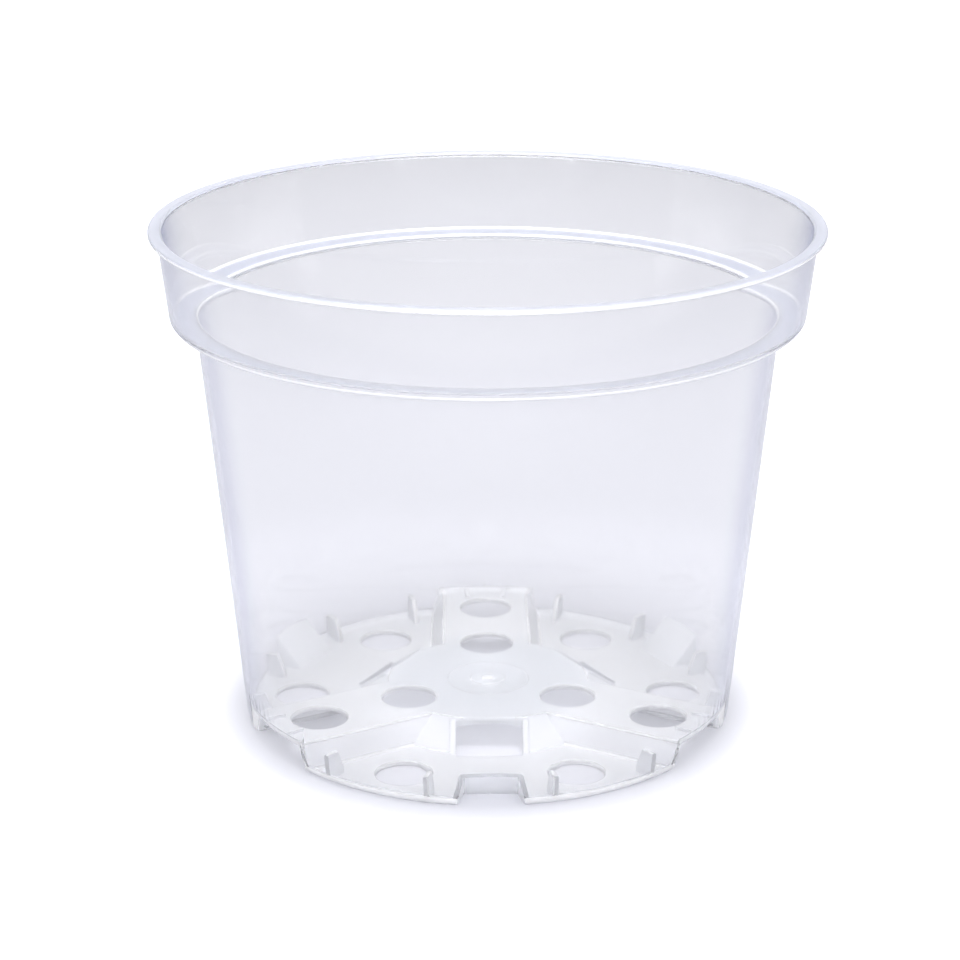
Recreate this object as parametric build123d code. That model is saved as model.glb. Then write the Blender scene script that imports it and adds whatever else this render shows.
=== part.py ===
from build123d import *
import os
from math import cos, radians, sin, sqrt

# Driving dimensions, in millimetres and degrees

# Rim, collar and side wall
HEIGHT = 93.4               # ground to the top of the lip
RIM_RADIUS = 60.0           # outer edge of the lip
LIP_THICKNESS = 0.9
LIP_OVERHANG = 1.5          # lip beyond the collar's outer face
LIP_ROUND = 0.35
COLLAR_HEIGHT = 15.1        # underside of the ledge to the underside of the lip
COLLAR_INSET = 1.7          # collar's foot, in from its top
LEDGE_STEP = 4.45           # collar's outer face to the side wall's outer face
LEDGE_ROUND = 0.8
BASE_RADIUS = 45.1          # side wall's outer face at the ground
WALL = 1.0                  # side wall, collar and ledge thickness
FOOT_ROUND = 2.2            # outer bottom edge

# Raised deck: a round middle with one arm to the wall between each two feet
PLATE = 1.0                 # deck, foot floor, ramp and sloped wall thickness
DECK_HEIGHT = 5.4           # ground to the deck's upper face
DISC_RADIUS = 18.7          # round middle, at the deck's upper face
DISC_SPREAD = 6.0           # by how much its sloped side widens down to the foot floors
ARM_WIDTH = 16.9            # arm, at the deck's upper face
ARM_SPREAD = 2.35           # by how much each side of an arm widens down to the foot floors
ARM_ROOT = 10.0             # centre of the pot to the line where an arm leaves the disc

# Drain holes
HOLE_DIAMETER = 10.0
INNER_HOLE_RING = 16.95     # radius of the ring of holes near the middle
OUTER_HOLE_SHARE = 0.5565   # place of the outer ring between the ends of the foot floors
FOOT_HOLE_ANGLE = 25.45     # middle of a foot to each of its two holes

# Window in the sloped wall of each foot, with a raised post at each side
WINDOW_WIDTH = 12.0
WINDOW_SETBACK = 0.2        # deck edge over the window, in from the disc's edge
WINDOW_REACH = 6.7          # deck edge over the window to the edge of the foot floor
POST_WIDTH = 1.2
POST_RISE = 0.8

# Notch in the wall of each foot, closed on the inside by a ramp
NOTCH_HEIGHT = 6.5
NOTCH_WIDTH = 9.5           # along the ramp
NOTCH_FOOT_WIDTH = 12.6     # at the wall's bottom edge
NOTCH_DEPTH = 6.1           # wall's outer face at the ground to the foot of the ramp

# Stacking fins in the feet and low ribs on the arms, against the wall
FIN_THICKNESS = 1.0
FIN_TOP = 5.6               # ground to the top of a fin
FIN_LENGTH = 2.6            # along its top
FIN_FOOT_LENGTH = 3.6       # along the foot floor
FIN_ANGLES = (14.5, 39.8)   # middle of a foot to its fins, on both sides
RIB_THICKNESS = 0.8
RIB_RISE = 0.6              # above the deck
RIB_LENGTH = 4.0
RIB_ANGLE = 5.0             # middle of an arm to its ribs

# Gate mark under the middle of the deck
GATE_RADIUS = 7.9
GATE_RISE = 0.3
BOSS_RADIUS = 3.5
BOSS_RISE = 0.4
NUB_RADIUS = 1.1
NUB_RISE = 0.8

# Places where the one moulding is divided into its named regions
SEAM_MARGIN = 0.25          # seam to the edge or bend that it runs beside
SKIRT_MARGIN = 0.8          # seam under the side wall to the highest bend or ramp below it

ARMS = {"rear": 90, "front_left": 210, "front_right": 330}
FEET = {"front": 270, "rear_left": 150, "rear_right": 30}

# Sizes that follow from the driving dimensions
LIP_LOW = HEIGHT - LIP_THICKNESS
LEDGE_LOW = LIP_LOW - COLLAR_HEIGHT
LEDGE_TOP = LEDGE_LOW + WALL
COLLAR_TOP_RADIUS = RIM_RADIUS - LIP_OVERHANG
COLLAR_FOOT_RADIUS = COLLAR_TOP_RADIUS - COLLAR_INSET
WALL_TOP_RADIUS = COLLAR_FOOT_RADIUS - LEDGE_STEP
DECK_LOW = DECK_HEIGHT - PLATE
FLOOR_TOP = PLATE
ARM_HALF = ARM_WIDTH / 2
HALF_PITCH = 180 / len(ARMS)
DISC_SLOPE = DISC_SPREAD / (DECK_HEIGHT - FLOOR_TOP)
ARM_SLOPE = ARM_SPREAD / (DECK_HEIGHT - FLOOR_TOP)
DISC_SLANT = sqrt(1 + DISC_SLOPE**2)
ARM_SLANT = sqrt(1 + ARM_SLOPE**2)
RAMP_FOOT = BASE_RADIUS - NOTCH_DEPTH
SKIRT = max(DECK_HEIGHT + FOOT_ROUND, NOTCH_HEIGHT + PLATE) + SKIRT_MARGIN
WINDOW_EDGE = DISC_RADIUS - WINDOW_SETBACK
HOLE_RADIUS = HOLE_DIAMETER / 2

# Seams between the regions of the base
DISC_SEAM = DISC_RADIUS + PLATE * (DISC_SLOPE - DISC_SLANT) - SEAM_MARGIN
ARM_SEAM = ARM_HALF + PLATE * (ARM_SLOPE - ARM_SLANT) - SEAM_MARGIN
SLOPE_SEAM = DISC_RADIUS + DISC_SPREAD + POST_RISE * DISC_SLANT + SEAM_MARGIN
SIDE_SEAM = ARM_HALF + ARM_SPREAD + SEAM_MARGIN
WALL_SEAM = BASE_RADIUS - FOOT_ROUND - SEAM_MARGIN
NOTCH_SEAM = NOTCH_FOOT_WIDTH / 2 + PLATE + SEAM_MARGIN
RAMP_SEAM = RAMP_FOOT - PLATE - SEAM_MARGIN
OUTER_HOLE_RING = SLOPE_SEAM + OUTER_HOLE_SHARE * (WALL_SEAM - SLOPE_SEAM)

BEYOND = 5.0                # how far a cutting shape runs past what it cuts


def wall_radius(z):
    """Outer radius of the side wall at a height."""
    return BASE_RADIUS + (WALL_TOP_RADIUS - BASE_RADIUS) * z / LEDGE_LOW


def collar_radius(z):
    """Outer radius of the collar at a height."""
    return COLLAR_FOOT_RADIUS + COLLAR_INSET * (z - LEDGE_LOW) / COLLAR_HEIGHT


def turned(points, rounds=()):
    """Solid of revolution from (radius, height) points, with the named corners rounded."""
    face = make_face(Polyline(*points, close=True))
    for corner, radius in rounds:
        vertex = face.vertices().sort_by_distance((*corner, 0))[0]
        face = fillet(vertex, radius)
    return revolve(Plane.XZ * face, Axis.Z)


def envelope(bottom):
    """The pot's outer form as a full solid, standing on a rounded bottom edge."""
    foot = (wall_radius(bottom), bottom)
    ledge = (COLLAR_FOOT_RADIUS, LEDGE_LOW)
    lip_under = (RIM_RADIUS, LIP_LOW)
    lip_top = (RIM_RADIUS, HEIGHT)
    points = [(0, bottom), foot, (WALL_TOP_RADIUS, LEDGE_LOW), ledge, (COLLAR_TOP_RADIUS, LIP_LOW)]
    points += [lip_under, lip_top, (0, HEIGHT)]
    rounds = [(foot, FOOT_ROUND), (ledge, LEDGE_ROUND), (lip_under, LIP_ROUND), (lip_top, LIP_ROUND)]
    return turned(points, rounds)


def cavity(bottom):
    """The space inside the pot above a level bottom."""
    foot = (wall_radius(bottom) - WALL, bottom)
    top = HEIGHT + BEYOND
    points = [(0, bottom), foot, (wall_radius(LEDGE_TOP) - WALL, LEDGE_TOP)]
    points += [(collar_radius(LEDGE_TOP) - WALL, LEDGE_TOP), (collar_radius(top) - WALL, top), (0, top)]
    return turned(points, [(foot, FOOT_ROUND - WALL)])


def cone(side, high):
    """Round frustum whose sloped side is moved outwards by a distance square to it."""
    shift = side * DISC_SLANT
    foot, top = [(DISC_RADIUS + shift + (DECK_HEIGHT - z) * DISC_SLOPE, z) for z in (-BEYOND, high)]
    return turned([(0, -BEYOND), foot, top, (0, high)])


def arm_prism(side, high):
    """Bar along +X with the arms' sloped sides, each moved outwards by a distance square to it."""
    shift = side * ARM_SLANT
    low_half, high_half = [ARM_HALF + shift + (DECK_HEIGHT - z) * ARM_SLOPE for z in (-BEYOND, high)]
    points = [(-low_half, -BEYOND), (low_half, -BEYOND), (high_half, high), (-high_half, high)]
    return extrude(Plane.YZ * make_face(Polyline(*points, close=True)), RIM_RADIUS)


def joined(shapes):
    """One form from several shapes."""
    form = shapes[0]
    for shape in shapes[1:]:
        form += shape
    return form


def at(angle, shape):
    """A shape made along +X, turned to an angle about the pot's axis."""
    return Rot(0, 0, angle) * shape


def block(start, end, half_width, low=-BEYOND, high=SKIRT + BEYOND):
    """Box along +X between two distances from the axis, with a half width and two heights."""
    centre = Pos((start + end) / 2, 0, (low + high) / 2)
    return centre * Box(end - start, 2 * half_width, high - low)


def drum(radius, low=-BEYOND, high=SKIRT + BEYOND):
    """Cylinder about the pot's axis between two heights."""
    return Pos(0, 0, (low + high) / 2) * Cylinder(radius, high - low)


def ridge(side):
    """The deck's round middle and arms with their sloped sides, carried on up past the deck."""
    return joined([cone(side, SKIRT)] + [at(angle, arm_prism(side, SKIRT)) for angle in ARMS.values()])


def notch_form(thickness):
    """Wedge along +X that the notch opens, grown by a thickness on the ramp and the two cheeks."""
    wall_top = wall_radius(NOTCH_HEIGHT)
    half = NOTCH_WIDTH / 2
    foot = Vector(RAMP_FOOT, half, 0)
    along_ramp = Vector(wall_top, half, NOTCH_HEIGHT) - foot
    along_ground = Vector(BASE_RADIUS, NOTCH_FOOT_WIDTH / 2, 0) - foot
    up = Vector(-NOTCH_HEIGHT, 0, wall_top - RAMP_FOOT).normalized()
    out = along_ramp.cross(along_ground).normalized()
    if out.Y < 0:
        out = -out
    form = block(RAMP_FOOT - NOTCH_DEPTH, RIM_RADIUS, NOTCH_FOOT_WIDTH)
    form = split(form, Plane(foot + up * thickness, z_dir=up), Keep.BOTTOM)
    form = split(form, Plane(foot + out * thickness, z_dir=out), Keep.BOTTOM)
    mirrored = Plane(Vector(foot.X, -foot.Y, 0) + Vector(out.X, -out.Y, out.Z) * thickness,
                     z_dir=Vector(out.X, -out.Y, out.Z))
    return split(form, mirrored, Keep.BOTTOM)


def window_posts():
    """The two raised posts beside the window, along +X, from the foot floor to the deck."""
    raised = cone(POST_RISE, DECK_HEIGHT)
    low_half = WINDOW_WIDTH / 2
    span = (DISC_RADIUS - DISC_SPREAD, SLOPE_SEAM + DISC_SPREAD)
    strips = block(*span, low_half + POST_WIDTH) - block(*span, low_half)
    return raised & strips


def hole_places():
    """Centre of each drain hole in plan: two in each arm and two in each foot."""
    places = []
    for angle in ARMS.values():
        places += [(INNER_HOLE_RING, angle), (OUTER_HOLE_RING, angle)]
    for angle in FEET.values():
        places += [(OUTER_HOLE_RING, angle - FOOT_HOLE_ANGLE), (OUTER_HOLE_RING, angle + FOOT_HOLE_ANGLE)]
    return [(ring * cos(radians(angle)), ring * sin(radians(angle))) for ring, angle in places]


def make_cavity():
    """The whole space inside the pot, down into the feet, round the ramps and the window posts."""
    space = cavity(FLOOR_TOP) - (ridge(0) - cavity(DECK_HEIGHT))
    ramp = notch_form(PLATE)
    posts = window_posts()
    for angle in FEET.values():
        space -= at(angle, ramp)
        space -= at(angle, posts)
    return space


def make_moulding(space):
    """The pot's thin wall, with its drain holes and windows."""
    form = envelope(0) - (ridge(-PLATE) - envelope(DECK_LOW))
    notch = notch_form(0)
    window = block(WINDOW_EDGE, WINDOW_EDGE + WINDOW_REACH, WINDOW_WIDTH / 2, high=DECK_HEIGHT + BEYOND)
    for angle in FEET.values():
        form -= at(angle, notch)
    form -= space
    for angle in FEET.values():
        form -= at(angle, window)
    for x, y in hole_places():
        form -= Pos(x, y, 0) * Cylinder(HOLE_RADIUS, 2 * (SKIRT + BEYOND))
    return form


def upright_plate(profile, thickness, angle):
    """Thin upright plate from an outline of (radius, height) points, turned to an angle."""
    face = Plane.XZ * make_face(Polyline(*profile, close=True))
    return at(angle, extrude(face, thickness / 2, both=True))


def stacking_fins(angle, space):
    """The four fins of one foot, against the wall and on the foot floor."""
    top_radius = wall_radius(FIN_TOP) - WALL
    foot_radius = wall_radius(FLOOR_TOP) - WALL
    profile = [(foot_radius - FIN_FOOT_LENGTH, FLOOR_TOP - BEYOND), (RIM_RADIUS, FLOOR_TOP - BEYOND)]
    profile += [(RIM_RADIUS, FIN_TOP), (top_radius - FIN_LENGTH, FIN_TOP)]
    profile += [(foot_radius - FIN_FOOT_LENGTH, FLOOR_TOP)]
    turns = [side * step for step in FIN_ANGLES for side in (-1, 1)]
    plates = [upright_plate(profile, FIN_THICKNESS, angle + turn) for turn in turns]
    return joined([plate & space for plate in plates])


def arm_ribs(angle, space):
    """The two low ribs at the outer end of one arm."""
    start = wall_radius(DECK_HEIGHT) - WALL - RIB_LENGTH
    low = DECK_HEIGHT - BEYOND
    top = DECK_HEIGHT + RIB_RISE
    profile = [(start, low), (RIM_RADIUS, low), (RIM_RADIUS, top), (start, top)]
    plates = [upright_plate(profile, RIB_THICKNESS, angle + turn) for turn in (-RIB_ANGLE, RIB_ANGLE)]
    return joined([plate & space for plate in plates])


def gate_mark():
    """Low round pad, boss and nub left under the deck where the plastic was let in."""
    pad_low = DECK_LOW - GATE_RISE
    boss_low = pad_low - BOSS_RISE
    nub_low = boss_low - NUB_RISE
    points = [(0, DECK_LOW), (GATE_RADIUS, DECK_LOW), (GATE_RADIUS - GATE_RISE, pad_low)]
    points += [(BOSS_RADIUS, pad_low), (BOSS_RADIUS - BOSS_RISE, boss_low), (NUB_RADIUS, boss_low)]
    points += [(NUB_RADIUS / 2, nub_low), (0, nub_low)]
    return turned(points)


def rings(moulding):
    """The round regions above the base, from the lip down."""
    wide = 2 * RIM_RADIUS
    levels = {"rim_lip": (LIP_LOW, HEIGHT), "collar_wall": (LEDGE_TOP, LIP_LOW),
              "collar_ledge": (LEDGE_LOW, LEDGE_TOP), "side_wall": (SKIRT, LEDGE_LOW)}
    return {name: moulding & drum(wide, low, high) for name, (low, high) in levels.items()}


def disc_zone():
    """Space of the deck's round middle, with the straight edge over each window."""
    zone = drum(DISC_SEAM)
    for angle in FEET.values():
        zone += at(angle, block(0, WINDOW_EDGE, WINDOW_WIDTH / 2))
    return zone


def foot_regions(base, foot_angle):
    """One foot's regions: notch ramp, outer wall, side walls, sloped inner wall and floor."""
    neighbours = [foot_angle - HALF_PITCH, foot_angle + HALF_PITCH]
    sector = at(foot_angle, block(0, 2 * RIM_RADIUS, 2 * RIM_RADIUS))
    for angle, turn in zip(neighbours, (-90, 90)):
        sector -= at(angle + turn, block(0, 4 * RIM_RADIUS, 4 * RIM_RADIUS))
        sector -= at(angle, block(0, RIM_RADIUS, ARM_SEAM))
    rest = (base & sector) - disc_zone()
    notch_zone = at(foot_angle, block(RAMP_SEAM, 2 * RIM_RADIUS, NOTCH_SEAM))
    side_zone = joined([at(angle, block(0, RIM_RADIUS, SIDE_SEAM)) for angle in neighbours])
    regions = {}
    regions["notch_ramp"] = rest & notch_zone
    rest -= notch_zone
    regions["outer_wall"] = rest - drum(WALL_SEAM)
    rest &= drum(WALL_SEAM)
    regions["side_walls"] = rest & side_zone
    rest -= side_zone
    regions["inner_wall"] = rest & drum(SLOPE_SEAM)
    regions["floor"] = rest - drum(SLOPE_SEAM)
    return regions


def main():
    space = make_cavity()
    moulding = make_moulding(space)
    nodes = rings(moulding)
    base = moulding & drum(2 * RIM_RADIUS, -BEYOND, SKIRT)
    arm_zone = block(ARM_ROOT, RIM_RADIUS, ARM_SEAM)
    first_arm = ARMS["rear"]
    first_foot = FEET["front"]
    arm = base & at(first_arm, arm_zone)
    ribs = arm_ribs(first_arm, space)
    foot = foot_regions(base, first_foot)
    foot["stacking_fins"] = stacking_fins(first_foot, space)
    nodes["deck_disc"] = base & disc_zone()
    nodes["gate_mark"] = gate_mark()
    for name, angle in ARMS.items():
        nodes["deck_disc"] -= at(angle, arm_zone)
        nodes[f"deck_arm_{name}"] = at(angle - first_arm, arm)
        nodes[f"arm_ribs_{name}"] = at(angle - first_arm, ribs)
    for name, angle in FEET.items():
        for region, shape in foot.items():
            nodes[f"foot_{name}_{region}"] = at(angle - first_foot, shape)
    os.makedirs("parts", exist_ok=True)
    for name, shape in nodes.items():
        export_step(shape, f"parts/{name}.step")
        print(f"{name}: {len(shape.solids())} solids, {shape.volume:.1f} mm3")


main()
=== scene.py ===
from math import acos, cos, pi, radians, sin, sqrt, tan

import bmesh
import bpy
from mathutils import Matrix, Vector


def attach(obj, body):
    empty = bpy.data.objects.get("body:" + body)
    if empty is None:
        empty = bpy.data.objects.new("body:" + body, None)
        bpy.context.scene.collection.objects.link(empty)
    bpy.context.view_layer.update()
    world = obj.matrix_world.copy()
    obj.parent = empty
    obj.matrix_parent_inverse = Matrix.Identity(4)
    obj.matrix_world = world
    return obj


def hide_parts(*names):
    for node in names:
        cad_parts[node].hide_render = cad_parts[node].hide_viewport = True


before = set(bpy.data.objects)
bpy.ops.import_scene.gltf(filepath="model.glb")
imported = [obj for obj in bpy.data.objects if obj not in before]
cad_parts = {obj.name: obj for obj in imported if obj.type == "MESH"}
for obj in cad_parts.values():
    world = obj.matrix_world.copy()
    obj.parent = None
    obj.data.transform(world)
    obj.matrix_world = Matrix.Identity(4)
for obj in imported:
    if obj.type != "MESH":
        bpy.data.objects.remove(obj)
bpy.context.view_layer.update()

MM = 0.001

# Sizes in millimetres and degrees: rim, collar and side wall
HEIGHT = 93.4
RIM_RADIUS = 60.0
LIP_LOW = 92.5
LIP_ROUND = 0.35
COLLAR_TOP_RADIUS = 58.5
COLLAR_FOOT_RADIUS = 56.8
LEDGE_LOW = 77.4
LEDGE_ROUND = 0.8
WALL_TOP_RADIUS = 52.35
BASE_RADIUS = 45.1
WALL = 1.0
FOOT_ROUND = 2.2
INNER_ROUND = 0.5           # bends inside the collar
WALL_RING = 10.0            # height of a ring of points that parts the base from the plain wall

# Raised deck, its arms and the feet between them
PLATE = 1.0
DECK_HEIGHT = 5.4
DISC_RADIUS = 18.7
DISC_SPREAD = 6.0
ARM_HALF = 8.45
ARM_SPREAD = 2.35
EDGE_ROUND = 0.7            # upper edges of the deck
BEND_ROUND = 0.8            # bends at the foot floors
CORNER_ROUND = 2.4          # upright corners of the feet
ARM_STATION = 30.0          # radius of a middle section of an arm
END_SLOPE = 5.0             # steepness of an arm's end past its round

# Drain holes and windows
HOLE_RADIUS = 5.0
HOLE_ROUND = 0.3
INNER_HOLE_RING = 16.95
OUTER_HOLE_RING = 35.4
FOOT_HOLE_ANGLE = 25.45
WINDOW_HALF = 6.0
WINDOW_EDGE = 18.5
WINDOW_END = 25.2
WINDOW_ROUND = 0.63         # deck edge over a window
POST_WIDTH = 1.2
POST_RISE = 0.8
POST_SINK = 0.3             # top of a post, below the deck
POST_BEVEL = 0.3

# Notches, stacking fins, arm ribs and gate mark
NOTCH_HEIGHT = 6.5
NOTCH_HALF = 4.75
NOTCH_FOOT_HALF = 6.3
RAMP_FOOT = 39.0
RAMP_ROUND = 0.5            # ramp's edges inside the pot
NOTCH_ROUND = 0.2           # and outside it
WEDGE_BLOCK = (22, 40, 40)  # block that a notch's wedge is cut from
WEDGE_AHEAD = 7.0           # middle of the block, beyond the foot of the ramp
FIN_THICKNESS = 1.0
FIN_TOP = 5.6
FIN_LENGTH = 2.6
FIN_FOOT_LENGTH = 3.6
FIN_ANGLES = (14.5, 39.8)
FIN_BEVEL = 0.25
RIB_THICKNESS = 0.8
RIB_TOP = 6.0
RIB_START = 40.6
RIB_ANGLE = 5.0
RIB_BEVEL = 0.2
# Gate mark as (radius, height) points: nub, boss and ring on top of the deck, then the same below it
GATE_TOP = ((0, 5.65), (0.8, 5.6), (1.2, 5.47), (3.2, 5.47), (3.5, 5.3))
GATE_RING = ((7.4, 5.3), (7.55, 5.44), (7.7, 5.44), (7.85, 5.3), (7.7, 4.9), (7.9, 4.3), (7.6, 4.1))
GATE_UNDER = ((3.5, 4.1), (3.1, 3.7), (1.1, 3.7), (0.6, 2.9), (0, 2.9))
GATE_NUB = 1.5              # radius within which the mark is milky, whitened partly as a painted highlight

BASE_TOP = 8.0              # above the deck, the notches and the fins
ARM_ANGLES = (90, 210, 330)
FOOT_ANGLES = (270, 150, 30)
SEGMENTS = 240              # steps round the pot
HOLE_SEGMENTS = 72          # steps round a hole and the gate mark
ARC_STEPS = 6               # steps in a rounded corner
ARM_STEPS = 10              # steps across an arm and along its end
SHARP_ANGLE = 35            # bends beyond this are shaded as edges
PAST = 3.0                  # how far a cutting shape runs past what it cuts
HAIR = 0.01                 # keeps faces of cutting shapes off the faces they meet

# Camera fitted to the photograph, in millimetres and pixels of a 960 pixel frame
FRAME_PIXELS = 960
FOCAL_PIXELS = 2604.07
AXIS_PIXEL = 487.76
CAMERA_BACK = 451.6
CAMERA_HEIGHT = 201.8
CAMERA_PITCH = 0.3349
POT_TURN = 0.75
SENSOR = 36.0

# Plastic
REFRACTION = 1.49
CLOUD_SCALE = 60                # faint clouds in the gloss, per metre
CLOUD_DETAIL = 3
EDGE_FACING = (0.58, 0.97)      # turned-away share at which the plastic's colour deepens, partly for the longer path through it and partly as painted shade at silhouettes
DECK_SHADE_RING = (0.015, 0.024)      # metres from the axis at which the painted shade on the deck's middle fades
# Finishes: colour, deeper colour (partly painted shade), clearness, and least and most roughness
# Clear wall: its deeper colour where it turns away from sight is partly the longer path and partly painted
# shade at silhouettes
CLEAR = ((0.945, 0.946, 0.957), (0.41, 0.44, 0.6), 0.95, (0.02, 0.07))
# Hazy base: its deeper colour is painted shade on the deck's middle
HAZY = ((0.968, 0.976, 1.0), (0.845, 0.868, 0.91), 0.52, (0.4, 0.55))
# Milky edges: whiter, partly from thicker haze at rounded edges and partly as a painted highlight
MILKY_HIGHLIGHT = ((0.99, 0.99, 1.0), (0.92, 0.93, 0.97), 0.5, (0.1, 0.2))
# Flats of the lip and ledge: the plastic in a darker grey-blue, a painted shade
SHADED_BAND = ((0.71, 0.735, 0.84), (0.69, 0.715, 0.82), 0.65, (0.3, 0.4))

# How faces are told apart, in millimetres and as the upward share of a face's direction
NARROW = 0.3                    # widest strip of a rounded edge
SHORT = 0.65                    # longest side of a face in a hole
EDGE_GAP = 0.02                 # keeps faces of the wall out of the base and out of its cut edges
REACH = 0.1                     # how far below the lip and the ledge their faces are looked for
LIP_DEPTH = 0.4                 # outer part of the lip
UPRIGHT = 0.1
LEVEL = 0.97
STEEP = 0.3                     # lip's outer face is below it, its inner chamfer above
LEDGE_BEND = 0.15               # bends at the ledge are above it, the walls below
TILTED = (0.03, 0.98)           # strips of rounded edges in the base
UNDERSIDE = -0.05
FIN_SIDE = 0.9                  # sideways share on the broad faces of a fin
ALIKE = 0.999                   # share of the ramp's direction on the ramp itself
CHEEK = (0.3, 0.9)              # least sideways share and most of the ramp's direction on its cheeks
LONG = 1.0                      # least run outwards of a long edge

# Light levels, where 1 is white
TOP_LIGHT = ((0, 0.05, 0.8), (0.5, 0.5), 4.3)          # place, size and power
FRONT_LIGHT = ((0, -0.95, 0.55), (1.4, 0.5), 12)
FLOOR_HALF = 4.0
FLOOR_GAP = 0.02                # millimetres under the pot, so that the two never share a face
WORLD_LEVEL = 0.85
FLOOR_COLOUR = (0.49, 0.4925, 0.53, 1)
# Colour of the floor's glow, which carries both its lift to white and its painted light and shade
FLOOR_GLOW = (0.98, 0.985, 1.06, 1)
# Floor lifts: (start, end, change) steps of distance from the pot's axis, in metres; the first set is
# painted light and shade on the floor, the camera's set lifts it to white
PAINTED_FLOOR_LIGHT = 0.3                # painted light under the deck; then painted shade under the feet, painted light beside the pot, painted shade behind it and far off
PAINTED_FLOOR_STEPS = ((0.022, 0.03, -0.14), (0.042, 0.056, 0.1), (0.075, 0.125, -0.12), (0.15, 0.33, -0.07))
CAMERA_START = 0
CAMERA_STEPS = ((0.042, 0.056, 0.35), (0.075, 0.125, 0.35))
CLEAR_BOUNCES = 32              # light bounces, through plastic and off it
SOFT_BOUNCES = 16


def wall_radius(z):
    """Outer radius of the side wall at a height."""
    return BASE_RADIUS + (WALL_TOP_RADIUS - BASE_RADIUS) * z / LEDGE_LOW


def collar_radius(z):
    """Outer radius of the collar at a height."""
    widening = COLLAR_TOP_RADIUS - COLLAR_FOOT_RADIUS
    return COLLAR_FOOT_RADIUS + widening * (z - LEDGE_LOW) / (LIP_LOW - LEDGE_LOW)


def rounded(points, rounds):
    """A closed outline of 2-D points with arcs in place of the corners that rounds names by index."""
    outline = []
    for index, point in enumerate(points):
        here = Vector(point)
        radius = rounds.get(index, 0)
        if radius == 0:
            outline.append(tuple(here))
            continue
        before = (Vector(points[index - 1]) - here).normalized()
        after = (Vector(points[(index + 1) % len(points)]) - here).normalized()
        half = acos(max(-1, min(1, before.dot(after)))) / 2
        middle = here + (before + after).normalized() * radius / sin(half)
        start = here + before * radius / tan(half) - middle
        end = here + after * radius / tan(half) - middle
        swing = pi - 2 * half
        for step in range(ARC_STEPS + 1):
            t = step / ARC_STEPS
            mixed = start * sin((1 - t) * swing) + end * sin(t * swing)
            outline.append(tuple(middle + mixed / sin(swing)))
    return outline


def solid(name, bm):
    """A new object from a closed mesh, with its faces turned outwards."""
    bmesh.ops.remove_doubles(bm, verts=bm.verts, dist=1e-6)
    bmesh.ops.recalc_face_normals(bm, faces=bm.faces)
    mesh = bpy.data.meshes.new(name)
    bm.to_mesh(mesh)
    bm.free()
    made = bpy.data.objects.new(name, mesh)
    bpy.context.scene.collection.objects.link(made)
    return made


def revolved(name, outline, segments=SEGMENTS, centre=(0, 0)):
    """Solid of revolution about an upright axis from (radius, height) points that start and end on it."""
    bm = bmesh.new()
    rings = []
    for radius, z in outline:
        count = segments if radius > 0 else 1
        turns = [2 * pi * step / segments for step in range(count)]
        ring = [(centre[0] + radius * cos(turn), centre[1] + radius * sin(turn), z) for turn in turns]
        rings.append([bm.verts.new(point) for point in ring])
    for low, high in zip(rings, rings[1:]):
        for step in range(segments):
            corners = [low[step % len(low)], low[(step + 1) % len(low)]]
            corners += [high[(step + 1) % len(high)], high[step % len(high)]]
            corners = list(dict.fromkeys(corners))
            if len(corners) > 2:
                bm.faces.new(corners)
    return solid(name, bm)


def lofted(name, sections):
    """Solid through closed outlines of 3-D points, all with the same number of points."""
    bm = bmesh.new()
    rows = [[bm.verts.new(point) for point in section] for section in sections]
    for low, high in zip(rows, rows[1:]):
        for i in range(len(low)):
            j = (i + 1) % len(low)
            bm.faces.new((low[i], low[j], high[j], high[i]))
    bm.faces.new(rows[0])
    bm.faces.new(rows[-1])
    return solid(name, bm)


def upright_plate(name, outline, low_side, high_side, angle, bevel=0):
    """Plate from an outline of (radius, height) points, between two side distances, turned to an angle."""
    sections = [[(radius, side, z) for radius, z in outline] for side in (low_side, high_side)]
    made = lofted(name, sections)
    if bevel:
        bm = bmesh.new()
        bm.from_mesh(made.data)
        bmesh.ops.bevel(bm, geom=bm.edges, offset=bevel, segments=2, affect="EDGES", profile=0.5)
        bm.to_mesh(made.data)
        bm.free()
    return turned(made, angle)


def turned(made, angle):
    """The object with its mesh turned about the pot's axis."""
    made.data.transform(Matrix.Rotation(radians(angle), 4, "Z"))
    return made


def gathered(tools):
    """One object that holds the meshes of several objects that stand apart."""
    bm = bmesh.new()
    for tool in tools:
        bm.from_mesh(tool.data)
        bpy.data.objects.remove(tool)
    return solid("gathered", bm)


def combined(target, tools, operation):
    """The target after joining it with, or cutting from it, tools that stand apart from each other."""
    tool = gathered(tools)
    modifier = target.modifiers.new(operation, "BOOLEAN")
    modifier.operation = operation
    modifier.solver = "MANIFOLD"
    modifier.object = tool
    depsgraph = bpy.context.evaluated_depsgraph_get()
    mesh = bpy.data.meshes.new_from_object(target.evaluated_get(depsgraph))
    target.modifiers.clear()
    target.data = mesh
    bpy.data.objects.remove(tool)
    return target


def outer_form():
    """The pot's outside as a full solid."""
    foot = (BASE_RADIUS, 0)
    under_ledge = (WALL_TOP_RADIUS, LEDGE_LOW)
    ledge = (COLLAR_FOOT_RADIUS, LEDGE_LOW)
    points = [(0, 0), foot, (wall_radius(WALL_RING), WALL_RING), under_ledge, ledge]
    points += [(COLLAR_TOP_RADIUS, LIP_LOW), (RIM_RADIUS, LIP_LOW), (RIM_RADIUS, HEIGHT), (0, HEIGHT)]
    rounds = {1: FOOT_ROUND, 3: INNER_ROUND, 4: LEDGE_ROUND, 5: INNER_ROUND / 2, 6: LIP_ROUND, 7: LIP_ROUND}
    return revolved("outside", rounded(points, rounds))


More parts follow.
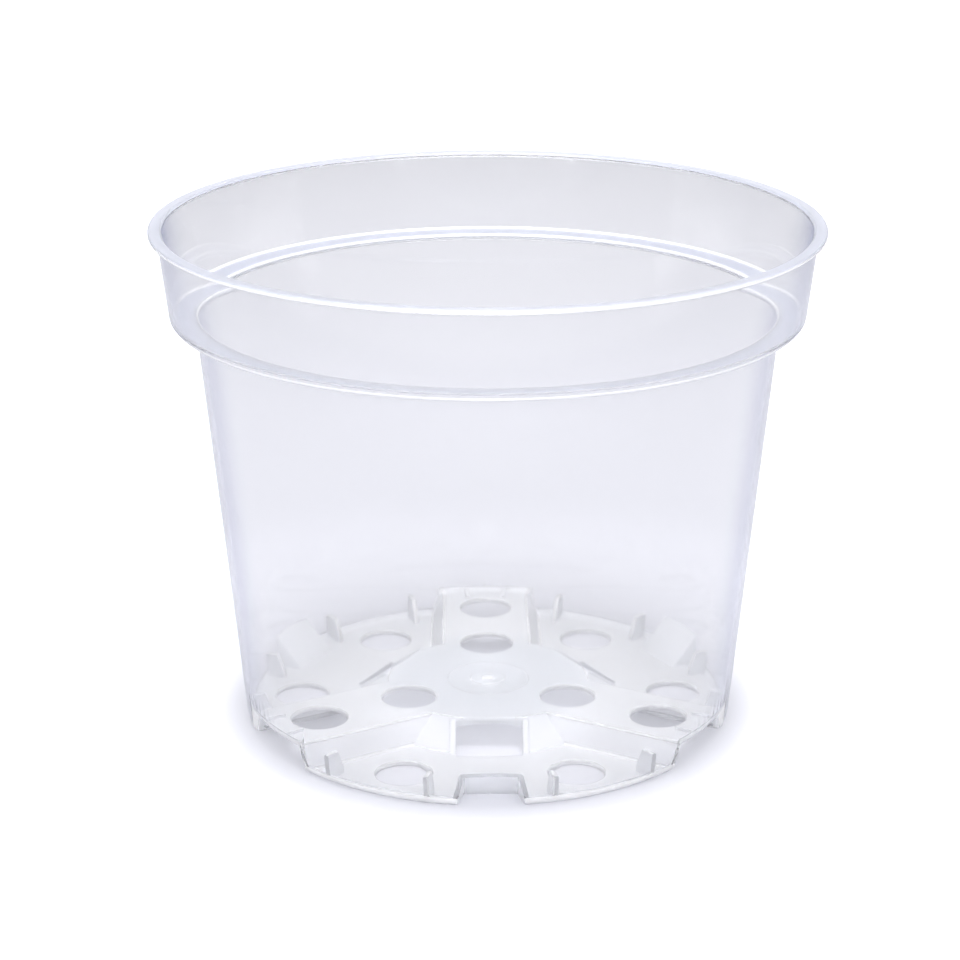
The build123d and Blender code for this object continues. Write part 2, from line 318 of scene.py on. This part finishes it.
def inner_form():
    """The pot's inside as a full solid, down to the foot floors."""
    ledge_top = LEDGE_LOW + WALL
    top = HEIGHT + PAST
    mouth = collar_radius(HEIGHT) - WALL
    points = [(0, PLATE), (wall_radius(PLATE) - WALL, PLATE), (wall_radius(WALL_RING) - WALL, WALL_RING)]
    points += [(wall_radius(ledge_top) - WALL, ledge_top), (collar_radius(ledge_top) - WALL, ledge_top)]
    points += [(mouth, HEIGHT - LIP_ROUND), (mouth + LIP_ROUND, HEIGHT)]
    points += [(collar_radius(HEIGHT), top), (0, top)]
    rounds = {1: FOOT_ROUND - WALL, 3: INNER_ROUND, 4: INNER_ROUND}
    return revolved("inside", rounded(points, rounds))


def rise(radius, start, round_radius, past_slope):
    """Height of a quarter round that begins at one radius and climbs outwards, and then goes on straight."""
    run = max(0, radius - start)
    if run >= round_radius:
        return round_radius + past_slope * (run - round_radius)
    return round_radius - sqrt(round_radius**2 - run**2)


def ridge_outline(half, spread, top, foot, top_round):
    """One side of the ridge: (distance, height) points from its foot up to its top edge."""
    wide = half + spread
    points = [(wide + PAST, foot - PAST), (wide + PAST, foot - HAIR), (wide, foot - HAIR)]
    points += [(half, top), (0, top)]
    return rounded(points, {2: BEND_ROUND, 3: top_round})[:-1]


def ridge(name, half, disc, drop, top, foot, top_round, wall, wall_round, corner_round):
    """The deck's round middle and three arms as one solid, with the arms' ends turned up at the wall."""
    slope = ARM_SPREAD / (DECK_HEIGHT - PLATE)
    disc_slope = DISC_SPREAD / (DECK_HEIGHT - PLATE)
    middle = ridge_outline(disc, disc_slope * drop, top, foot, top_round)
    made = revolved(name, [(0, foot - PAST)] + middle + [(0, top)])
    climb = wall - wall_round
    corner = wall - corner_round
    stations = [DISC_RADIUS - PAST, ARM_STATION, min(climb, corner)]
    reach = wall - stations[-1]
    stations += [stations[-1] + reach * sin(pi / 2 * step / ARM_STEPS) for step in range(1, ARM_STEPS)]
    stations += [wall, wall + PAST]
    side = ridge_outline(half, slope * drop, top, foot, top_round)
    sections = []
    for radius in stations:
        lift = rise(radius, climb, wall_round, END_SLOPE)
        flare = rise(radius, corner, corner_round, 0)
        line = [(across + flare, z + lift * max(0, z - foot) / (top - foot)) for across, z in side]
        high_across, high_z = line[-1]
        low_across, low_z = line[0]
        steps = [1 - 2 * step / ARM_STEPS for step in range(1, ARM_STEPS)]
        outline = line + [(high_across * t, high_z) for t in steps]
        outline += [(-across, z) for across, z in reversed(line)]
        outline += [(-low_across * t, low_z) for t in steps]
        sections.append([(sqrt(radius**2 - across**2), across, z) for across, z in outline])
    for angle in ARM_ANGLES:
        combined(made, [turned(lofted("arm", sections), angle)], "UNION")
    return made


def notch_wedge(thickness, edge_round, angle):
    """Wedge that the notch opens, grown by a thickness on its ramp and cheeks, with rounded edges."""
    wall_top = wall_radius(NOTCH_HEIGHT)
    up = Vector((-NOTCH_HEIGHT, 0, wall_top - RAMP_FOOT)).normalized()
    foot = Vector((RAMP_FOOT, NOTCH_HALF, 0))
    along_ramp = Vector((wall_top, NOTCH_HALF, NOTCH_HEIGHT)) - foot
    along_ground = Vector((BASE_RADIUS, NOTCH_FOOT_HALF, 0)) - foot
    out = along_ground.cross(along_ramp).normalized()
    if out.y < 0:
        out = -out
    bm = bmesh.new()
    bmesh.ops.create_cube(bm, size=1)
    bmesh.ops.scale(bm, verts=bm.verts, vec=WEDGE_BLOCK)
    bmesh.ops.translate(bm, verts=bm.verts, vec=(RAMP_FOOT + WEDGE_AHEAD, 0, WEDGE_BLOCK[2] / 2 - PAST))
    mirrored = Vector((out.x, -out.y, out.z))
    planes = [(foot, up), (foot, out), (Vector((foot.x, -foot.y, 0)), mirrored)]
    for point, normal in planes:
        geom = list(bm.verts) + list(bm.edges) + list(bm.faces)
        grown = point + normal * thickness
        cut = bmesh.ops.bisect_plane(bm, geom=geom, plane_co=grown, plane_no=normal, clear_outer=True)
        edges = [item for item in cut["geom_cut"] if isinstance(item, bmesh.types.BMEdge)]
        bmesh.ops.contextual_create(bm, geom=edges)
    bm.normal_update()
    ridges = [edge for edge in bm.edges if is_ramp_edge(edge, up)]
    bmesh.ops.bevel(bm, geom=ridges, offset=edge_round, segments=4, affect="EDGES", profile=0.5)
    return turned(solid("wedge", bm), angle)


def is_ramp_edge(edge, up):
    """True for the two long edges where the ramp meets its cheeks."""
    normals = [face.normal for face in edge.link_faces]
    on_ramp = any(normal.dot(up) > ALIKE for normal in normals)
    beside = any(abs(normal.y) > CHEEK[0] and normal.dot(up) < CHEEK[1] for normal in normals)
    return on_ramp and beside and abs(edge.verts[0].co.x - edge.verts[1].co.x) > LONG


def window_cutter(angle):
    """Upright cutter for a window, flared over the deck edge to round it."""
    edge = WINDOW_EDGE
    points = [(WINDOW_END, -PAST), (WINDOW_END, DECK_HEIGHT + PAST), (edge - EDGE_ROUND, DECK_HEIGHT + PAST)]
    points += [(edge - EDGE_ROUND, DECK_HEIGHT + HAIR), (edge, DECK_HEIGHT + HAIR), (edge, -PAST)]
    return upright_plate("window", rounded(points, {4: WINDOW_ROUND}), -WINDOW_HALF, WINDOW_HALF, angle)


def hole_cutter(ring, angle, low, high):
    """Round cutter for a drain hole, flared at both ends to round its edges."""
    wide = HOLE_RADIUS + HOLE_ROUND
    points = [(0, low - PAST), (wide + HAIR, low - PAST), (wide + HAIR, low - HAIR)]
    points += [(HOLE_RADIUS, low - HAIR), (HOLE_RADIUS, high + HAIR)]
    points += [(wide + HAIR, high + HAIR), (wide + HAIR, high + PAST), (0, high + PAST)]
    centre = (ring * cos(radians(angle)), ring * sin(radians(angle)))
    return revolved("hole", rounded(points, {3: HOLE_ROUND, 4: HOLE_ROUND}), HOLE_SEGMENTS, centre)


def hole_cutters():
    """A cutter for each drain hole: two in each arm and two in each foot."""
    cutters = []
    for angle in ARM_ANGLES:
        for ring in (INNER_HOLE_RING, OUTER_HOLE_RING):
            cutters.append(hole_cutter(ring, angle, DECK_HEIGHT - PLATE, DECK_HEIGHT))
    for angle in FOOT_ANGLES:
        for turn in (-FOOT_HOLE_ANGLE, FOOT_HOLE_ANGLE):
            cutters.append(hole_cutter(OUTER_HOLE_RING, angle + turn, 0, PLATE))
    return cutters


def wall_middle(z):
    """Radius of the middle of the side wall's thickness at a height."""
    return wall_radius(z) - WALL / 2


def stacking_fins():
    """The upright fins in the feet, rooted in the wall and the foot floor."""
    top_inner = wall_radius(FIN_TOP) - WALL - FIN_LENGTH
    foot_inner = wall_radius(PLATE) - WALL - FIN_FOOT_LENGTH
    root = PLATE / 2
    side = FIN_THICKNESS / 2
    outline = [(foot_inner, root), (wall_middle(PLATE) - FOOT_ROUND / 2, root)]
    outline += [(wall_middle(FOOT_ROUND), FOOT_ROUND), (wall_middle(FIN_TOP), FIN_TOP)]
    outline += [(top_inner, FIN_TOP), (foot_inner, PLATE + PLATE)]
    fins = []
    for angle in FOOT_ANGLES:
        for step in FIN_ANGLES:
            for turn in (-step, step):
                fins.append(upright_plate("fin", outline, -side, side, angle + turn, FIN_BEVEL))
    return fins


def arm_ribs():
    """The low ribs at the outer ends of the arms."""
    root = DECK_HEIGHT - PLATE / 2
    outline = [(RIB_START, root), (wall_middle(RIB_TOP) - PLATE / 2, root), (wall_middle(RIB_TOP), RIB_TOP)]
    outline += [(RIB_START, RIB_TOP)]
    side = RIB_THICKNESS / 2
    ribs = []
    for angle in ARM_ANGLES:
        for turn in (-RIB_ANGLE, RIB_ANGLE):
            ribs.append(upright_plate("rib", outline, -side, side, angle + turn, RIB_BEVEL))
    return ribs


def window_posts():
    """The raised posts beside the windows, along the sloped inner walls of the feet."""
    middle = WINDOW_HALF + POST_WIDTH / 2
    slant = sqrt(1 + (DISC_SPREAD / (DECK_HEIGHT - PLATE))**2)
    top = sqrt(DISC_RADIUS**2 - middle**2)
    foot = sqrt((DISC_RADIUS + DISC_SPREAD)**2 - middle**2)
    root = PLATE * slant / 2
    head = DECK_HEIGHT - POST_SINK
    outline = [(top - root, head), (top + POST_RISE * slant, head)]
    outline += [(foot + POST_RISE * slant, PLATE / 2), (foot - root, PLATE / 2)]
    posts = []
    for angle in FOOT_ANGLES:
        for side in (-1, 1):
            low, high = sorted((side * WINDOW_HALF, side * (WINDOW_HALF + POST_WIDTH)))
            posts.append(upright_plate("post", outline, low, high, angle, POST_BEVEL))
    return posts


def pot_shell():
    """The whole moulding as one closed thin-walled mesh, in metres."""
    outside = outer_form()
    deck_low = DECK_HEIGHT - PLATE
    arm_shift = PLATE * sqrt(1 + (ARM_SPREAD / deck_low)**2) - PLATE * ARM_SPREAD / deck_low
    disc_shift = PLATE * sqrt(1 + (DISC_SPREAD / deck_low)**2) - PLATE * DISC_SPREAD / deck_low
    hollow = ridge("hollow", ARM_HALF - arm_shift, DISC_RADIUS - disc_shift, deck_low, deck_low, 0,
                   EDGE_ROUND / 2, wall_radius(deck_low + FOOT_ROUND), FOOT_ROUND, CORNER_ROUND)
    inside = inner_form()
    inner_bend = FOOT_ROUND - WALL
    deck = ridge("deck", ARM_HALF, DISC_RADIUS, deck_low, DECK_HEIGHT, PLATE, EDGE_ROUND,
                 wall_radius(DECK_HEIGHT + inner_bend) - WALL, inner_bend, CORNER_ROUND - WALL)
    notches = [notch_wedge(0, NOTCH_ROUND, angle) for angle in FOOT_ANGLES]
    ramps = [notch_wedge(PLATE, RAMP_ROUND, angle) for angle in FOOT_ANGLES]
    combined(outside, [hollow] + notches, "DIFFERENCE")
    combined(inside, [deck] + ramps, "DIFFERENCE")
    shell = combined(outside, [inside], "DIFFERENCE")
    combined(shell, window_posts(), "UNION")
    combined(shell, [window_cutter(angle) for angle in FOOT_ANGLES] + hole_cutters(), "DIFFERENCE")
    gate = revolved("gate", GATE_TOP + GATE_RING + GATE_UNDER, HOLE_SEGMENTS)
    combined(shell, stacking_fins() + arm_ribs() + [gate], "UNION")
    shell.name = "pot_shell"
    shell.data.name = "pot_shell"
    shell.data.transform(Matrix.Scale(MM, 4))
    shell.data.shade_smooth()
    shell.data.set_sharp_from_angle(angle=radians(SHARP_ANGLE))
    return shell


def edge_depth_and_shade(nodes, links):
    """Socket that rises from 0 to 1 where a surface turns away from sight, for a deeper colour there that is
    partly the longer path through the plastic and partly painted shade.
    """
    facing = nodes.new("ShaderNodeLayerWeight")
    return eased(nodes, links, facing.outputs["Facing"], *EDGE_FACING, 0, 1)


def shaded_mid_deck(nodes, links):
    """Socket that is 1 in the middle of the deck, where painted shade darkens it, and 0 outside it."""
    place = nodes.new("ShaderNodeTexCoord")
    level = nodes.new("ShaderNodeVectorMath")
    level.operation = "MULTIPLY"
    level.inputs[1].default_value = (1, 1, 0)
    links.new(place.outputs["Object"], level.inputs[0])
    length = nodes.new("ShaderNodeVectorMath")
    length.operation = "LENGTH"
    links.new(level.outputs["Vector"], length.inputs[0])
    return eased(nodes, links, length.outputs["Value"], *DECK_SHADE_RING, 1, 0)


def plastic(name, depth_and_shade_where, colour, depth_and_shade_colour, clearness, gloss):
    """Pale plastic with a deeper colour in some places, partly for depth and partly painted shade, and faint
    clouds in its gloss.
    """
    material = bpy.data.materials.new(name)
    material.use_nodes = True
    nodes = material.node_tree.nodes
    links = material.node_tree.links
    shader = nodes["Principled BSDF"]
    shader.inputs["IOR"].default_value = REFRACTION
    shader.inputs["Transmission Weight"].default_value = clearness
    place = nodes.new("ShaderNodeTexCoord")
    cloud = nodes.new("ShaderNodeTexNoise")
    cloud.inputs["Scale"].default_value = CLOUD_SCALE
    cloud.inputs["Detail"].default_value = CLOUD_DETAIL
    links.new(place.outputs["Object"], cloud.inputs["Vector"])
    spread = nodes.new("ShaderNodeMapRange")
    spread.inputs["To Min"].default_value = gloss[0]
    spread.inputs["To Max"].default_value = gloss[1]
    links.new(cloud.outputs["Fac"], spread.inputs["Value"])
    links.new(spread.outputs["Result"], shader.inputs["Roughness"])
    tint = nodes.new("ShaderNodeMix")
    tint.data_type = "RGBA"
    colours = [socket for socket in tint.inputs if socket.type == "RGBA"]
    colours[0].default_value = (*colour, 1)
    colours[1].default_value = (*depth_and_shade_colour, 1)
    links.new(depth_and_shade_where(nodes, links), tint.inputs[0])
    mixed = [socket for socket in tint.outputs if socket.type == "RGBA"]
    links.new(mixed[0], shader.inputs["Base Color"])
    return material


def on_fin_edge(place, normal):
    """True on the top of a stacking fin and on the edge that it turns to the pot's axis."""
    for foot in FOOT_ANGLES:
        for step in FIN_ANGLES:
            for turn in (-step, step):
                back = Matrix.Rotation(-radians(foot + turn), 3, "Z")
                across = back @ place
                beside = abs(across.y) < FIN_THICKNESS / 2 + HAIR and abs((back @ normal).y) < FIN_SIDE
                if beside and across.x > RAMP_FOOT and place.z > PLATE + HAIR:
                    return True
    return False


def zone(piece, face):
    """Finish of a face: 0 clear wall or underside, 1 hazy base, 2 milky edge, whitened partly as a painted
    highlight, 3 flat of the lip or ledge, darkened as a painted shade.
    """
    place = face.center / MM
    up = face.normal.z
    radius = Vector(place[:2]).length
    inward = wall_radius(place.z) - radius
    low = place.z < BASE_TOP
    in_base = low and inward > WALL + EDGE_GAP
    points = piece.data.vertices
    longest = max((points[a].co - points[b].co).length for a, b in face.edge_keys)
    bent = abs(up) < LEVEL
    at_lip = place.z > LIP_LOW - REACH and inward < 0
    at_ledge = LEDGE_LOW - REACH < place.z < LEDGE_LOW + WALL + INNER_ROUND

    lip_line = at_lip and abs(up) < STEEP and radius > RIM_RADIUS - LIP_DEPTH
    ledge_line = at_ledge and bent and abs(up) > LEDGE_BEND
    hole_edge = low and abs(up) < UPRIGHT and longest < SHORT * MM
    cut_edge = low and EDGE_GAP < inward < WALL - EDGE_GAP
    strip = 2 * face.area / longest < NARROW * MM and TILTED[0] < abs(up) < TILTED[1]
    nub = place.z > DECK_HEIGHT and radius < GATE_NUB
    # Milky faces: rounded edges, lines and the gate's nub, whitened partly as a painted highlight
    if lip_line or ledge_line or hole_edge or cut_edge:
        return 2
    if in_base and (strip or nub or on_fin_edge(place, face.normal)):
        return 2
    # Flats of the lip and ledge take the darker band finish, a painted shade
    lip_flat = at_lip and up > -LEVEL and (not bent or up > STEEP)
    ledge_flat = at_ledge and not bent
    if lip_flat or ledge_flat:
        return 3
    under_deck = up < UNDERSIDE and inward > BASE_RADIUS - RAMP_FOOT + PLATE
    return int((in_base or place.z < FOOT_ROUND) and not under_deck)


def finish_plastic(piece):
    """Gives each face of the pot the finish of its zone."""
    piece.data.materials.clear()
    clear = plastic("clear_plastic", edge_depth_and_shade, *CLEAR)
    hazy = plastic("hazy_plastic", shaded_mid_deck, *HAZY)
    milky = plastic("milky_highlight_plastic", edge_depth_and_shade, *MILKY_HIGHLIGHT)
    band = plastic("shaded_band_plastic", edge_depth_and_shade, *SHADED_BAND)
    for finish in (clear, hazy, milky, band):
        piece.data.materials.append(finish)
    for face in piece.data.polygons:
        face.material_index = zone(piece, face)


def seen_directly(nodes, links):
    """Socket that is 1 for camera, glossy and transmitted rays and 0 for the rest."""
    path = nodes.new("ShaderNodeLightPath")
    total = path.outputs["Is Camera Ray"]
    for name in ("Is Glossy Ray", "Is Transmission Ray"):
        larger = nodes.new("ShaderNodeMath")
        larger.operation = "MAXIMUM"
        links.new(total, larger.inputs[0])
        links.new(path.outputs[name], larger.inputs[1])
        total = larger.outputs["Value"]
    return total


def eased(nodes, links, source, start, end, low, high):
    """Socket that goes smoothly from one level to another as its source goes from start to end."""
    step = nodes.new("ShaderNodeMapRange")
    step.interpolation_type = "SMOOTHSTEP"
    for name, value in (("From Min", start), ("From Max", end), ("To Min", low), ("To Max", high)):
        step.inputs[name].default_value = value
    links.new(source, step.inputs["Value"])
    return step.outputs["Result"]


def worked(nodes, links, operation, *sources):
    """Socket that holds a sum or product of other sockets."""
    made = nodes.new("ShaderNodeMath")
    made.operation = operation
    for index, source in enumerate(sources):
        links.new(source, made.inputs[index])
    return made.outputs["Value"]


def stepped(nodes, links, source, level, steps):
    """Socket that begins at a level and changes smoothly by each (start, end, change) step of its source."""
    total = None
    for start, end, change in steps:
        step = eased(nodes, links, source, start, end, level, level + change)
        level = 0
        total = step if total is None else worked(nodes, links, "ADD", total, step)
    return total


def floor_material():
    """Pale floor that keeps the pot's shadow, with painted light and shade in rings round the pot's axis,
    and lifted further to white away from the pot for the camera.
    """
    material = bpy.data.materials.new("floor")
    material.use_nodes = True
    nodes = material.node_tree.nodes
    links = material.node_tree.links
    shader = nodes["Principled BSDF"]
    shader.inputs["Base Color"].default_value = FLOOR_COLOUR
    shader.inputs["Roughness"].default_value = 1
    shader.inputs["Specular IOR Level"].default_value = 0
    shader.inputs["Emission Color"].default_value = FLOOR_GLOW
    place = nodes.new("ShaderNodeTexCoord")
    length = nodes.new("ShaderNodeVectorMath")
    length.operation = "LENGTH"
    links.new(place.outputs["Object"], length.inputs[0])
    distance = length.outputs["Value"]
    # Painted light and shade on the floor, in rings round the pot's axis
    lift = stepped(nodes, links, distance, PAINTED_FLOOR_LIGHT, PAINTED_FLOOR_STEPS)
    seen = worked(nodes, links, "MULTIPLY", seen_directly(nodes, links), lift)
    extra = stepped(nodes, links, distance, CAMERA_START, CAMERA_STEPS)
    camera = nodes.new("ShaderNodeLightPath").outputs["Is Camera Ray"]
    white = worked(nodes, links, "MULTIPLY", camera, extra)
    links.new(worked(nodes, links, "ADD", seen, white), shader.inputs["Emission Strength"])
    return material


def studio_floor():
    """A pale floor under the pot, with painted light and shade round it."""
    bm = bmesh.new()
    bmesh.ops.create_grid(bm, x_segments=1, y_segments=1, size=FLOOR_HALF)
    mesh = bpy.data.meshes.new("floor")
    bm.to_mesh(mesh)
    bm.free()
    floor = bpy.data.objects.new("floor", mesh)
    floor.location.z = -FLOOR_GAP * MM
    bpy.context.scene.collection.objects.link(floor)
    mesh.materials.append(floor_material())


def studio_world():
    """Even pale light from all round, on a white background."""
    world = bpy.data.worlds.new("studio")
    bpy.context.scene.world = world
    world.use_nodes = True
    nodes = world.node_tree.nodes
    links = world.node_tree.links
    level = nodes.new("ShaderNodeMapRange")
    level.inputs["To Min"].default_value = WORLD_LEVEL
    level.inputs["To Max"].default_value = 1
    links.new(seen_directly(nodes, links), level.inputs["Value"])
    links.new(level.outputs["Result"], nodes["Background"].inputs["Strength"])
    nodes["Background"].inputs["Color"].default_value = (1, 1, 1, 1)


def softbox(name, place, size, power):
    """A rectangular lamp that faces the middle of the pot."""
    lamp = bpy.data.lights.new(name, "AREA")
    lamp.shape = "RECTANGLE"
    lamp.size, lamp.size_y = size
    lamp.energy = power
    made = bpy.data.objects.new(name, lamp)
    made.location = place
    aim = Vector((0, 0, HEIGHT * MM / 2)) - Vector(place)
    made.rotation_euler = aim.to_track_quat("-Z", "Y").to_euler()
    made.visible_camera = False
    bpy.context.scene.collection.objects.link(made)


def photo_camera():
    """The camera that took the photograph, round the pot by the small angle that the pot is turned."""
    lens = bpy.data.cameras.new("camera")
    lens.sensor_fit = "HORIZONTAL"
    lens.sensor_width = SENSOR
    lens.lens = FOCAL_PIXELS * SENSOR / FRAME_PIXELS
    lens.shift_x = (FRAME_PIXELS / 2 - AXIS_PIXEL) / FRAME_PIXELS
    made = bpy.data.objects.new("camera", lens)
    turn = radians(POT_TURN)
    made.location = Vector((-CAMERA_BACK * sin(turn), -CAMERA_BACK * cos(turn), CAMERA_HEIGHT)) * MM
    made.rotation_euler = (pi / 2 - CAMERA_PITCH, 0, -turn)
    bpy.context.scene.collection.objects.link(made)
    bpy.context.scene.camera = made


pot = pot_shell()
finish_plastic(pot)
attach(pot, "root")
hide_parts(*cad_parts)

studio_floor()
studio_world()
softbox("top_light", *TOP_LIGHT)
softbox("front_light", *FRONT_LIGHT)
photo_camera()
bpy.context.scene.view_settings.view_transform = "Standard"
bpy.context.scene.cycles.max_bounces = CLEAR_BOUNCES
bpy.context.scene.cycles.transmission_bounces = CLEAR_BOUNCES
bpy.context.scene.cycles.glossy_bounces = SOFT_BOUNCES
bpy.context.scene.cycles.diffuse_bounces = SOFT_BOUNCES
